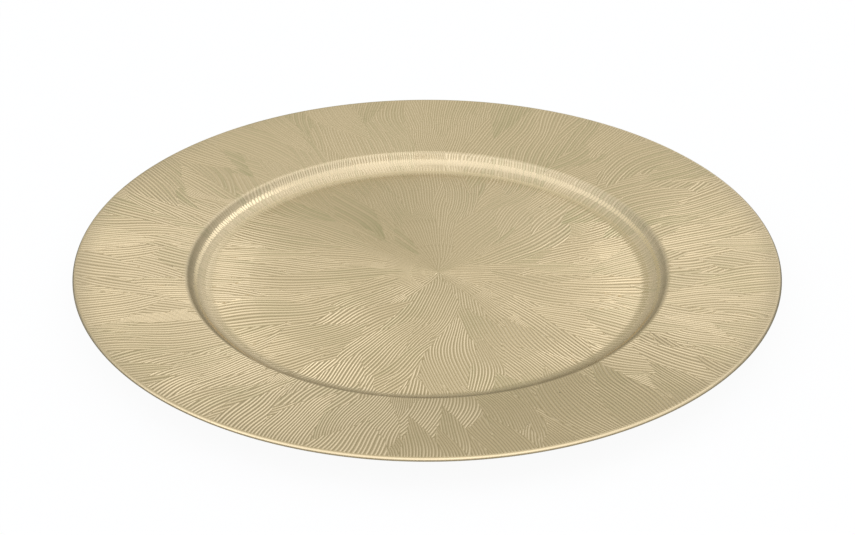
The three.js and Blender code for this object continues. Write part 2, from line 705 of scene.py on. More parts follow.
def with_rest(parts: Sequence[Array], rest: Triple, count: int) -> Array:
    """Joins the three parts of a vector into rows, and adds a same row for every point that has none.

    Args:
        parts: The parts at the first points.
        rest: The row of each other point.
        count: How many points there are.

    Returns:
        One row for each point.
    """
    rows = np.stack(parts, 1)
    return np.concatenate([rows, np.tile(rest, (count - len(rows), 1))])


class NodeBoard:
    """A node tree with short ways to add nodes and join them."""

    def __init__(self, tree: bpy.types.NodeTree) -> None:
        """Clears the tree.

        Args:
            tree: The tree of a material or a world.
        """
        self.tree = tree
        tree.nodes.clear()

    def add(self, kind: str, inputs: dict[Any, Any] | None = None, **settings: Any) -> bpy.types.Node:
        """Adds a node.

        Args:
            kind: Blender's name for the node type.
            inputs: Socket name or number to a value, or to the socket that feeds it.
            settings: Other properties of the node.

        Returns:
            The node.
        """
        node = self.tree.nodes.new(kind)
        for name, value in settings.items():
            setattr(node, name, value)
        for socket, value in (inputs or {}).items():
            if isinstance(value, Socket):
                self.tree.links.new(value, node.inputs[socket])
            else:
                node.inputs[socket].default_value = value
        return node

    def math(self, operation: str, *values: Any, clamp: bool = False) -> Socket:
        """Adds a math node.

        Args:
            operation: Blender's name for the operation.
            values: The values or sockets that it works on.
            clamp: Whether the result is held between 0 and 1.

        Returns:
            Its output.
        """
        node = self.add("ShaderNodeMath", dict(enumerate(values)), operation=operation, use_clamp=clamp)
        return node.outputs[0]

    def mix(self, share: Any, a: Any, b: Any, blend: str = "MIX") -> Socket:
        """Adds a colour mix.

        Args:
            share: How much of b, as a value or a socket.
            a: First colour or socket.
            b: Second colour or socket.
            blend: Blender's name for the way of mixing.

        Returns:
            Its output.
        """
        inputs = {"Factor": share, 6: a, 7: b}
        node = self.add("ShaderNodeMix", inputs, data_type="RGBA", blend_type=blend, clamp_factor=True)
        return node.outputs[2]

    def ramp(self, value: Socket, span: Pair, results: Pair = (0.0, 1.0)) -> Socket:
        """Adds a node that takes one range of values to another, and holds what lies outside.

        Args:
            value: The value.
            span: Where the range starts and ends.
            results: What its start and its end become.

        Returns:
            Its output.
        """
        return self.add("ShaderNodeMapRange", dict(enumerate((value, *span, *results)))).outputs[0]

    def noise(self, place: Socket, scale: float, detail: float) -> Socket:
        """Adds a cloudy noise of about 0.5.

        Args:
            place: Coordinates on the piece.
            scale: Clouds for each metre.
            detail: How many finer layers it has.

        Returns:
            Its output.
        """
        inputs = {"Vector": place, "Scale": scale, "Detail": detail}
        return self.add("ShaderNodeTexNoise", inputs).outputs["Fac"]

    def bump(self, height: Socket, distance: float, under: Socket | None = None) -> Socket:
        """Adds a bump.

        Args:
            height: Heights from 0 to 1.
            distance: Depth of the relief.
            under: The bumped normal that it lies on, if any.

        Returns:
            The bumped normal.
        """
        inputs = {"Height": height, "Distance": distance}
        if under is not None:
            inputs["Normal"] = under
        return self.add("ShaderNodeBump", inputs).outputs["Normal"]

    def attribute(self, name: str) -> Socket:
        """An attribute of the mesh, as a vector."""
        return self.add("ShaderNodeAttribute", attribute_name=name).outputs["Vector"]

    def parts(self, vector: Socket) -> Sequence[Socket]:
        """The three parts of a vector."""
        return self.add("ShaderNodeSeparateXYZ", {0: vector}).outputs[:]


def new_material(name: str) -> tuple[bpy.types.Material, NodeBoard]:
    """Makes an empty node material.

    Args:
        name: Name of the material.

    Returns:
        The material and its nodes.
    """
    made = bpy.data.materials.new(name)
    made.use_nodes = True
    return made, NodeBoard(made.node_tree)


def opaque(colour: Colour) -> tuple[float, float, float, float]:
    """A colour with full alpha."""
    return (*colour, 1.0)


@dataclass(frozen=True)
class CombNames:
    """Names of the attributes that carry the combed lines from the film's mesh to its finish.

    Attributes:
        wave: The place across a line in X and Y and, in Z, the share of the lines' height that the mesh is
            too coarse to carry.
        look: The tone of each stroke, how far the painted groove shade shows, and the dullness with painted
            shade.
        across: The way across the lines, along which the sheen spreads.
    """

    wave: str = "comb_wave"
    look: str = "comb_look"
    across: str = "comb_across"


@dataclass(frozen=True)
class GoldFinish:
    """Satin champagne gold on an embossed film, rosier and greener from stroke to stroke.

    Attributes:
        rosy: Gold of the rosiest strokes.
        green: Gold of the greenest strokes.
        grazing: Tint of the gold where it is seen at a low angle.
        groove: Painted shade at the bottom of the grooves.
        speck: Colour of the specks.
        dull_and_shade: Colour of the painted shade on the wall, edge and side rim, also darkening the
            greenest strokes.
        tone_share: How far the tone of a stroke shows.
        tone_base: How rosy a stroke of no tone is, before the clouds.
        cloud_scale: Clouds of rosier gold for each metre.
        cloud_detail: How many finer layers they have.
        groove_share: How far the painted shade shows at the bottom of the grooves.
        groove_power: Above 1, that colour keeps to the bottom.
        groove_mean: Share of that painted shade where single lines don't show.
        skew: How far ridges lean to one side.
        roughness: Roughness of a ridge.
        groove_roughness: What the bottom of a groove adds.
        side_roughness: What lines that run sideways add.
        dull_roughness: What dullness adds.
        brushing: How far the sheen spreads across the lines.
        speck_cells: Cells for each metre in which a speck may lie.
        speck_radius: Radius of a speck, as a share of its cell.
        speck_picked: Chance above which a cell has a speck.
        grain_scale: Grains for each metre.
        grain_detail: How many finer layers they have.
        grain_depth: Depth of the grain.
    """

    rosy: Colour = (0.915, 0.74, 0.463)
    green: Colour = (0.725, 0.63, 0.358)
    grazing: Colour = (0.60, 0.64, 0.72)
    groove: Colour = (0.29, 0.215, 0.07)
    speck: Colour = (0.16, 0.125, 0.075)
    dull_and_shade: Colour = (0.225, 0.20, 0.135)
    tone_share: float = 0.7
    tone_base: float = 0.5
    cloud_scale: float = 38.0
    cloud_detail: float = 3.0
    groove_share: float = 0.54
    groove_power: float = 2.4
    groove_mean: float = 0.155
    skew: float = 0.4
    roughness: float = 0.24
    groove_roughness: float = 0.10
    side_roughness: float = 0.08
    dull_roughness: float = 0.4
    brushing: float = 0.6
    speck_cells: float = 70.0
    speck_radius: float = 0.025
    speck_picked: float = 0.8
    grain_scale: float = 2600.0
    grain_detail: float = 2.0
    grain_depth: float = 0.008 * MM

    def ridge(self, wave: Array, tone: Array) -> Array:
        """Height of the lines, leaning to one side or the other from stroke to stroke.

        Args:
            wave: Places across the lines, as complex numbers.
            tone: Tone of each stroke.

        Returns:
            Heights from 0 in a groove to 1 on a ridge.
        """
        angle = np.angle(wave)
        return 0.5 + 0.5 * np.cos(angle + self.skew * tone * np.cos(angle))

    def material(self, names: CombNames, line_height: float) -> bpy.types.Material:
        """Builds the material.

        Args:
            names: The attributes of the film's mesh.
            line_height: Height of the lines where they are highest.

        Returns:
            The material.
        """
        made, board = new_material("combed_gold")
        place = board.add("ShaderNodeTexCoord").outputs["Object"]
        near, side, bumped = board.parts(board.attribute(names.wave))
        look = board.parts(board.attribute(names.look))
        across = board.attribute(names.across)
        height = self._ridge_nodes(board, near, side, look[0])
        depth = board.math("SUBTRACT", 1.0, height)
        lines = board.bump(board.math("MULTIPLY", height, bumped), line_height)
        grain = board.noise(place, self.grain_scale, self.grain_detail)
        spaces = {"convert_from": "OBJECT", "convert_to": "WORLD"}
        sheen = board.add("ShaderNodeVectorTransform", {0: across}, vector_type="VECTOR", **spaces)
        shader = board.add(
            "ShaderNodeBsdfPrincipled",
            {
                "Base Color": self._colour(board, place, depth, look),
                "Metallic": 1.0,
                "Roughness": self._roughness(board, across, depth, look[2]),
                "Specular Tint": opaque(self.grazing),
                "Anisotropic": self.brushing,
                "Normal": board.bump(grain, self.grain_depth, lines),
                "Tangent": sheen.outputs["Vector"],
            },
        )
        board.add("ShaderNodeOutputMaterial", {"Surface": shader.outputs["BSDF"]})
        return made

    def _ridge_nodes(self, board: NodeBoard, near: Socket, side: Socket, tone: Socket) -> Socket:
        """The lines' height in nodes, as sharp as the picture and not as the mesh.

        Args:
            board: The material's nodes.
            near: First part of the place across a line.
            side: Second part of it.
            tone: Tone of the stroke.

        Returns:
            Heights from 0 to 1.
        """
        angle = board.math("ARCTAN2", side, near)
        lean = board.math("MULTIPLY", board.math("MULTIPLY", tone, self.skew), board.math("COSINE", angle))
        level = board.math("COSINE", board.math("ADD", angle, lean))
        return board.math("MULTIPLY_ADD", level, 0.5, 0.5)

    def _colour(self, board: NodeBoard, place: Socket, depth: Socket, look: Sequence[Socket]) -> Socket:
        """The gold, with painted shade in the grooves and on the wall, edge and side rim, darker greenest
        strokes and specks.

        Args:
            board: The material's nodes.
            place: Coordinates on the piece.
            depth: Depths from 0 on a ridge to 1 in a groove.
            look: Tone, how far the painted groove shade shows, and dullness with painted shade.

        Returns:
            The colour.
        """
        tone, shown, dull_and_shade = look
        cloud = board.noise(place, self.cloud_scale, self.cloud_detail)
        toned = board.math("MULTIPLY_ADD", tone, self.tone_share, self.tone_base)
        hue = board.math("ADD", toned, cloud, clamp=True)
        gold = board.mix(hue, opaque(self.green), opaque(self.rosy))
        # Painted shade in the grooves, eased to an even share where the lines are not to show.
        sunk = board.math("MULTIPLY", board.math("POWER", depth, self.groove_power), self.groove_share)
        sunk = board.mix(shown, (self.groove_mean,) * 4, sunk)
        gold = board.mix(sunk, gold, opaque(self.groove))
        # Painted shade on the well wall, the edge and the side rim, and darker greenest strokes.
        gold = board.mix(dull_and_shade, gold, opaque(self.dull_and_shade))
        return board.mix(self._specks(board, place), gold, opaque(self.speck))

    def _specks(self, board: NodeBoard, place: Socket) -> Socket:
        """A few tiny dark specks, at the middles of scattered cells.

        Args:
            board: The material's nodes.
            place: Coordinates on the piece.

        Returns:
            Where the specks are, from 0 to 1.
        """
        cells = board.add("ShaderNodeTexVoronoi", {"Vector": place, "Scale": self.speck_cells})
        near = board.math("LESS_THAN", cells.outputs["Distance"], self.speck_radius)
        chance = board.add("ShaderNodeSeparateColor", {"Color": cells.outputs["Color"]}).outputs["Red"]
        return board.math("MULTIPLY", near, board.math("GREATER_THAN", chance, self.speck_picked))

    def _roughness(self, board: NodeBoard, across: Socket, depth: Socket, dull_and_shade: Socket) -> Socket:
        """Roughness, greater in grooves, where the lines run sideways and where the dullness and painted
        shade are high.

        Args:
            board: The material's nodes.
            across: The way across the lines.
            depth: Depths from 0 on a ridge to 1 in a groove.
            dull_and_shade: Dullness, with the painted shade of the wall, edge and side rim.

        Returns:
            The roughness.
        """
        lying = board.parts(across)[1]
        squared = board.math("MULTIPLY", lying, lying)
        rough = board.math("MULTIPLY_ADD", squared, self.side_roughness, self.roughness)
        rough = board.math("MULTIPLY_ADD", depth, self.groove_roughness, rough)
        return board.math("MULTIPLY_ADD", dull_and_shade, self.dull_roughness, rough)


@dataclass(frozen=True)
class MouldedFinish:
    """Dark warm-grey moulded plastic with a fine grain."""

    colour: Colour = (0.150, 0.138, 0.118)
    pale: Colour = (0.190, 0.176, 0.152)
    cloud_scale: float = 22.0
    cloud_detail: float = 5.0
    roughness: float = 0.45
    cloud_roughness: float = 0.14
    grain_scale: float = 1500.0
    grain_detail: float = 2.0
    grain_depth: float = 0.02 * MM

    def material(self) -> bpy.types.Material:
        """Builds the material.

        Returns:
            The material.
        """
        made, board = new_material("moulded_plastic")
        place = board.add("ShaderNodeTexCoord").outputs["Object"]
        cloud = board.noise(place, self.cloud_scale, self.cloud_detail)
        grain = board.noise(place, self.grain_scale, self.grain_detail)
        shader = board.add(
            "ShaderNodeBsdfPrincipled",
            {
                "Base Color": board.mix(cloud, opaque(self.colour), opaque(self.pale)),
                "Roughness": board.math("MULTIPLY_ADD", cloud, self.cloud_roughness, self.roughness),
                "Normal": board.bump(grain, self.grain_depth),
            },
        )
        board.add("ShaderNodeOutputMaterial", {"Surface": shader.outputs["BSDF"]})
        return made


@dataclass
class FilmFace:
    """The points of the film's face, with the combed lines at each and where it lies on the plate.

    Attributes:
        comb: The combed lines.
        tilt: Slope of the face along the ray.
        steep: That slope as a share of the well wall's, from 0 to 1.
        inset: Distance in from the edge's rounding.
        floor_share: Radius as a share of the well floor's.
        away: Distance from the middle, away from the viewer, as a share of the rim's radius.
    """

    comb: CombedFace
    tilt: Array
    steep: Array
    inset: Array
    floor_share: Array
    away: Array

    @property
    def upright(self) -> Array:
        """1 where the rays run to and from the viewer, and 0 where they run sideways."""
        return np.sin(self.comb.bearing) ** 2

    @property
    def far(self) -> Array:
        """1 at the far side, falling to 0 at the left, at the right and in the near half."""
        return np.maximum(np.sin(self.comb.bearing), 0)


@dataclass(frozen=True)
class LineFade:
    """Where the combed lines lose height.

    Attributes:
        bare_radius: Radius of the smooth spot at the burst's centre.
        edge_width: Width over which lines die out at the edge.
        fine_loss: Share lost at the centre, where lines are fine.
        fine_reach: Distance from the centre at which that share is back.
        side_loss: Share lost at the left and right of the well floor.
        floor_ease: How fast that loss sets in from the border of the floor.
        near_loss: Share lost at the near side.
        far_loss: Share lost at the far side.
        far_ease: How fast that loss sets in from the left and right.
        wall_gain: Share of those two losses that the well wall is spared.
        wall_loss: Share lost on the well wall, apart from its far side.
        wall_ease: How fast that loss sets in with the slope.
        height_spread: How much higher the rosiest strokes are, as a share.
    """

    bare_radius: float
    edge_width: float = 0.7 * MM
    fine_loss: float = 0.46
    fine_reach: float = 95 * MM
    side_loss: float = 0.42
    floor_ease: float = 3.0
    near_loss: float = 0.70
    far_loss: float = 0.905
    far_ease: float = 1.2
    wall_gain: float = 0.6
    wall_loss: float = 0.85
    wall_ease: float = 1.8
    height_spread: float = 0.25

    def at_ends(self, face: FilmFace) -> Array:
        """Share of the lines that is left at the centre and at the edge."""
        return smooth_step(face.inset / self.edge_width) * smooth_step(face.comb.reach / self.bare_radius)

    def on_wall(self, face: FilmFace) -> Array:
        """Share of the lines that is left on the well wall."""
        return 1 - self.wall_loss * (1 - face.far**2) * smooth_step(self.wall_ease * face.steep)

    def height(self, face: FilmFace) -> Array:
        """Share of their full height that the lines have.

        Args:
            face: The points of the face.

        Returns:
            A share for each point.
        """
        near = self.near_loss * face.upright
        far = self.far_loss * smooth_step(self.far_ease * face.far)
        loss = np.where(face.away < 0, near, far) * (1 - self.wall_gain * face.steep)
        fine = self.fine_loss * (1 - smooth_step(face.comb.reach / self.fine_reach))
        floor = smooth_step(self.floor_ease * (1 - face.floor_share))
        side = self.side_loss * floor * (1 - face.upright) ** 2
        spread = 1 + self.height_spread * face.comb.tone
        return self.at_ends(face) * self.on_wall(face) * (1 - loss) * spread * (1 - fine) * (1 - side)


@dataclass(frozen=True)
class FilmShade:
    """Where the film's tones, its painted groove shade and its dullness with painted shade show.

    Attributes:
        near_tone: Strength of the tones in general.
        far_tone: What is added to it at the far left and far right.
        side_pale: Share of the painted groove shade lost at the left and right.
        far_pale: Share of it lost at the far side.
        wall_kept: Share of that last loss that the well wall is spared.
        wall_painted_shade: Painted shade darkening the well wall.
        far_bright: Share of that painted shade that the far side is spared.
        edge_painted_shade: Painted shade darkening the outside of the edge.
        roll_start: Slope of the rolled edge at which that painted shade sets in.
        roll_turn: Turn of the edge over which it does.
        side_roll: The same turn at the left and right, where it sets in at the top.
        rim_painted_shade: Painted shade on the rim beside the edge, at the left and right.
        rim_width: Width over which it sets in.
        patch_dull: Dullness of the greenest strokes.
    """

    near_tone: float = 0.4
    far_tone: float = 0.75
    side_pale: float = 0.5
    far_pale: float = 0.66
    wall_kept: float = 0.8
    wall_painted_shade: float = 0.66
    far_bright: float = 0.6
    edge_painted_shade: float = 0.7
    roll_start: float = math.radians(50)
    roll_turn: float = math.radians(30)
    side_roll: float = math.radians(40)
    rim_painted_shade: float = 0.2
    rim_width: float = 10 * MM
    patch_dull: float = 0.08

    def tone(self, bearing: Array) -> Array:
        """Strength of the tones at some bearings."""
        far_sides = 2 * np.maximum(np.sin(bearing), 0) * np.abs(np.cos(bearing))
        return self.near_tone + self.far_tone * far_sides

    def groove(self, face: FilmFace) -> Array:
        """How far the painted shade in the grooves shows.

        Args:
            face: The points of the face.

        Returns:
            A share for each point.
        """
        # Painted groove shade: less at the far side, apart from the wall, and less at the left and right.
        far = self.far_pale * smooth_step(0.5 + 0.5 * face.away) * (1 - self.wall_kept * face.steep)
        return (1 - far) * (1 - self.side_pale * (1 - face.upright))

    def dull_and_shade(self, face: FilmFace, lined: Array) -> Array:
        """Dullness of the film, with painted shade on the well wall, the rolled edge and the side rim.

        Args:
            face: The points of the face.
            lined: Share of the lines that is left at the centre and at the edge.

        Returns:
            A value of about 0 to 1 for each point.
        """
        sideways = 1 - face.upright
        # Painted shade on the well wall, less of it at the far side.
        wall = self.wall_painted_shade * face.steep * (1 - self.far_bright * face.far)
        # Painted shade on the rolled edge, setting in higher at the left and right.
        rolled = smooth_step((-face.tilt - self.roll_start) / self.roll_turn)
        rolled += sideways**2 * smooth_step(-face.tilt / self.side_roll)
        # Painted shade on the rim beside the edge, at the left and right.
        rim = self.rim_painted_shade * sideways * smooth_step(1 - face.inset / self.rim_width)
        patch = self.patch_dull * lined * (0.5 - 0.5 * face.comb.tone)
        return wall + self.edge_painted_shade * np.minimum(rolled, 1) + rim + patch


@dataclass
class GoldFilm:
    """The embossed film: covers the face, rolls over the edge and ends below its rounding.

    Attributes:
        section: The plate's section.
        pattern: The combed pattern.
        finish: The gold.
        shade: Where the gold's tones, its painted groove shade and its dullness with painted shade show.
        names: Names of the mesh's attributes.
        burst_centre: Place in plan that the lines burst from.
        slide_start: Share of the floor's radius at which the rings begin to slide from there to the axis.
        slide_width: Share of it over which they do.
        line_height: Height of the lines where they are highest.
        meshed: Share of the height that the mesh carries, where lines run along a ray.
        meshed_lean: Sine of the lean from which the mesh carries less. At twice that it carries none.
        point_gap: Longest distance between points of a ring.
        ring_gap: Longest distance between rings.
        first_count: Points of the innermost ring.
        edge_turn: Largest turn between rings on a fillet.
        back_gap: Longest distance between rings of the hidden back.
        back_turn: Largest turn between them on a fillet.
        back_count: Points of a ring of the back.
        sharp: Angle above which an edge is shaded sharp.
        face_disc: Middle and radius of the face in the unwrapped square.
        back_disc: Middle and radius of the back there.
    """

    section: PlateSection
    pattern: CombedPattern
    finish: GoldFinish
    shade: FilmShade = FilmShade()
    names: CombNames = CombNames()
    burst_centre: Pair = (5.4 * MM, 2.2 * MM)
    slide_start: float = 0.15
    slide_width: float = 0.8
    line_height: float = 0.56 * MM
    meshed: float = 0.65
    meshed_lean: float = 0.35
    point_gap: float = 0.33 * MM
    ring_gap: float = 0.55 * MM
    first_count: int = 50
    edge_turn: float = math.radians(9)
    back_gap: float = 12 * MM
    back_turn: float = math.radians(24)
    back_count: int = 400
    sharp: float = math.radians(60)
    face_disc: Triple = (0.415, 0.415, 0.41)
    back_disc: Triple = (0.91, 0.91, 0.08)

    def build(self) -> bpy.types.Object:
        """Makes the closed skin, with the combed lines raised on its face.

        Returns:
            The piece, dressed and riding on the plate.
        """
        sheet = RingSheet()
        front = self._front(sheet)
        self._back(sheet)
        vertices = np.concatenate(sheet.vertices)
        layers = self._emboss(self._face(sheet, vertices, front), vertices)
        film = mesh_object("gold_film_skin", vertices, sheet.faces(), self.sharp)
        for name, values in layers.items():
            layer = film.data.attributes.new(name, "FLOAT_VECTOR", "POINT")
            layer.data.foreach_set("vector", values.astype(np.float32).ravel())
        self._unwrap(film.data, sheet, front)
        film.data.materials.append(self.finish.material(self.names, self.line_height))
        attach(film, BODY)
        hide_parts("gold_film")
        return film

    def _count(self, radius: float) -> int:
        """How many points a ring of the face has."""
        doublings = math.ceil(math.log2(max(TURN * radius / self.point_gap / self.first_count, 1.0)))
        return self.first_count * 2**doublings

    def _front(self, sheet: RingSheet) -> int:
        """Adds the rings of the face, from the axis to the end of the film.

        Args:
            sheet: The sheet that takes the rings.

        Returns:
            How many rings the face has.
        """
        for radius, height in filleted(self.section.film_side(0.0), self.ring_gap, self.edge_turn):
            slid = np.array((radius / self.section.floor_radius - self.slide_start) / self.slide_width)
            share = 1 - float(smooth_step(slid))
            centre = (self.burst_centre[0] * share, self.burst_centre[1] * share)
            sheet.add(radius, height, self._count(radius), centre)
        return len(sheet.counts)

    def _back(self, sheet: RingSheet) -> None:
        """Adds the rings of the hidden back, from the end of the film to the axis.

        Args:
            sheet: The sheet that takes the rings.
        """
        count = sheet.counts[-1]
        back = filleted(self.section.film_side(self.section.film), self.back_gap, self.back_turn)
        for radius, height in reversed(back):
            sheet.add(radius, height, count)
            count = max(count // 2, self.back_count) if count > self.back_count else count

    def _face(self, sheet: RingSheet, vertices: Array, front: int) -> FilmFace:
        """Combs the face and finds where each of its points lies on the plate.

        Args:
            sheet: The rings.
            vertices: Their points.
            front: How many rings the face has.

        Returns:
            The points of the face.
        """
        counts = sheet.counts[:front]
        on_face = int(np.sum(counts))
        radius, bearing = sheet.per_point(sheet.radii)[:on_face], sheet.angles()[:on_face]
        x, y = vertices[:on_face, 0].copy(), vertices[:on_face, 1].copy()
        comb = self.pattern.comb(radius, bearing, x, y)
        comb.tone *= self.shade.tone(bearing)
        rise = np.gradient([ring[0, 2] for ring in sheet.vertices[:front]])
        run = np.gradient(sheet.radii[:front])
        tilt = np.repeat(np.arctan2(rise, run), counts)
        return FilmFace(
            comb=comb,
            tilt=tilt,
            steep=np.clip(tilt / self.section.wall_angle, 0, 1),
            inset=self.section.rim_radius - self.section.edge_fillet - radius,
            floor_share=radius / self.section.floor_radius,
            away=y / self.section.rim_radius,
        )

    def _emboss(self, face: FilmFace, vertices: Array) -> dict[str, Array]:
        """Raises the combed lines square to the face, and works out what the finish needs.

        Args:
            face: The points of the face, which come first among the vertices.
            vertices: The vertices, which are moved in place.

        Returns:
            Each attribute's name and its values at every vertex.
        """
        comb, tilt, bearing = face.comb, face.tilt, face.comb.bearing
        fade = LineFade(self.pattern.bare_radius)
        lined, raised = fade.at_ends(face), fade.height(face)
        turned = np.abs(np.sin(comb.heading - bearing))
        carried = self.meshed * (1 - smooth_step(turned / self.meshed_lean - 1))
        lift = self.line_height * raised * carried * (self.finish.ridge(comb.wave, comb.tone) - 0.5)
        inward = -lift * np.sin(tilt)
        moves = np.stack([inward * np.cos(bearing), inward * np.sin(bearing), lift * np.cos(tilt)], 1)
        vertices[: len(moves)] += moves
        lean = (comb.heading - bearing + 0.5 * math.pi) % math.pi - 0.5 * math.pi
        sheen = bearing + lean * (1 - face.steep)
        # How far the painted shade in the grooves shows.
        shown = lined * fade.on_wall(face) * self.shade.groove(face)
        wave = (comb.wave.real, comb.wave.imag, raised * (1 - carried))
        # The third part is the dullness with the painted shade of the wall, edge and side rim.
        look = (comb.tone, shown, self.shade.dull_and_shade(face, lined))
        across = (-np.sin(sheen), np.cos(sheen), np.zeros_like(sheen))
        return {
            self.names.wave: with_rest(wave, ALONG_X, len(vertices)),
            self.names.look: with_rest(look, NOTHING, len(vertices)),
            self.names.across: with_rest(across, ALONG_X, len(vertices)),
        }

    def _unwrap(self, mesh: bpy.types.Mesh, sheet: RingSheet, front: int) -> None:
        """Unrolls the face to one large disc and the back to a small one, both true along each ray.

        Args:
            mesh: The film's mesh.
            sheet: The rings.
            front: How many rings the face has.
        """
        profile = np.array([[radius, ring[0, 2]] for radius, ring in zip(sheet.radii, sheet.vertices)])
        reach = np.concatenate([[0], np.cumsum(np.hypot(*np.diff(profile, axis=0).T))])
        share = np.concatenate([reach[:front], reach[-1] - reach[front:]]) / reach[front - 1]
        discs = [self.face_disc] * front + [self.back_disc] * (len(share) - front)
        radius = sheet.per_point(part * disc[2] for part, disc in zip(share, discs))
        angle = sheet.angles()
        u = sheet.per_point(disc[0] for disc in discs) + radius * np.cos(angle)
        v = sheet.per_point(disc[1] for disc in discs) + radius * np.sin(angle)
        corner = np.empty(len(mesh.loops), np.int32)
        mesh.loops.foreach_get("vertex_index", corner)
        layer = mesh.uv_layers.new(name=BAKE_UV)
        layer.data.foreach_set("uv", np.stack([u, v], 1)[corner].astype(np.float32).ravel())


@dataclass
class MouldedBlank:
    """The moulded plate under the film, with its foot ring and the mark of its gate."""

    section: PlateSection
    finish: MouldedFinish
    count: int = 320
    ring_gap: float = 8 * MM
    arc_turn: float = math.radians(12)
    foot_inset: float = 5.8 * MM
    foot_flat: float = 2.0 * MM
    foot_draft: float = math.radians(12)
    foot_fillet: float = 0.4 * MM
    gate_radius: float = 7.0 * MM
    gate_depth: float = 0.4 * MM
    stub_radius: float = 1.5 * MM
    stub_height: float = 0.3 * MM
    sharp: float = math.radians(35)

    def build(self) -> bpy.types.Object:
        """Makes the closed moulding.

        Returns:
            The piece, dressed and riding on the plate.
        """
        sheet = RingSheet()
        for radius, height in self._upper() + self._under():
            sheet.add(radius, height, self.count)
        blank = mesh_object("moulded_blank", np.concatenate(sheet.vertices), sheet.faces(), self.sharp)
        blank.data.materials.append(self.finish.material())
        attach(blank, BODY)
        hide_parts("plate_blank")
        return blank

    def _upper(self) -> list[Pair]:
        """The side under the film, from the axis to the bare edge."""
        return filleted(self.section.film_side(self.section.film), self.ring_gap, self.arc_turn)

    def _under(self) -> list[Pair]:
        """The underside, from the bare edge over the rim, wall, foot ring and gate mark to the axis.

        Returns:
            Pairs of radius and height.
        """
        under = self.section.face(self.section.film + self.section.blank)
        hem = self.section.hem()
        base = self.section.foot_height
        foot = self.section.floor_radius - self.foot_inset
        half = self.foot_flat / 2
        spread = base * math.tan(self.foot_draft)
        dimple = base + self.gate_depth
        stub = dimple - self.stub_height
        corners = [
            Corner(hem.radius, self.section.film_end),
            hem,
            under[2],
            under[1],
            Corner(foot + half + spread, base, self.foot_fillet),
            Corner(foot + half, 0.0, self.foot_fillet),
            Corner(foot - half, 0.0, self.foot_fillet),
            Corner(foot - half - spread, base, self.foot_fillet),
            Corner(self.gate_radius, base, self.foot_fillet),
            Corner(self.gate_radius - self.gate_depth, dimple, self.foot_fillet),
            Corner(self.stub_radius, dimple),
            Corner(self.stub_radius, stub),
            Corner(0.0, stub),
        ]
        return filleted(corners, self.ring_gap, self.arc_turn)[1:]


@dataclass(frozen=True)
class FloorFinish:
    """A plain white studio floor that keeps the plate's soft shadow."""

    colour: Colour = (0.86, 0.86, 0.855)
    glow: Colour = (1.0, 1.0, 1.0)
    glow_share: float = 0.94

    def material(self) -> bpy.types.Material:
        """Builds the material: white to the eye and in reflections, and a plain matt floor to the light.

        Returns:
            The material.
        """
        made, board = new_material("studio_floor")
        path = board.add("ShaderNodeLightPath").outputs
        seen = board.math("ADD", path["Is Camera Ray"], path["Is Glossy Ray"])
        seen = board.math("ADD", seen, path["Is Transmission Ray"], clamp=True)
        share = board.math("MULTIPLY", seen, self.glow_share)
        matt = board.add("ShaderNodeBsdfDiffuse", {"Color": opaque(self.colour)})
        glow = board.add("ShaderNodeEmission", {"Color": opaque(self.glow), "Strength": 1.0})
        both = board.add("ShaderNodeMixShader", {0: share, 1: matt.outputs[0], 2: glow.outputs[0]})
        board.add("ShaderNodeOutputMaterial", {"Surface": both.outputs[0]})
        return made


@dataclass(frozen=True)
class Lamp:
    """A bright patch on the studio's walls.

    Attributes:
        aim: Where it is, seen from the plate.
        edge: Cosine of the angle from there to the patch's border.
        full: Cosine of the angle within which the patch has its full light.
        light: That light.
    """

    aim: Triple
    edge: float
    full: float
    light: float


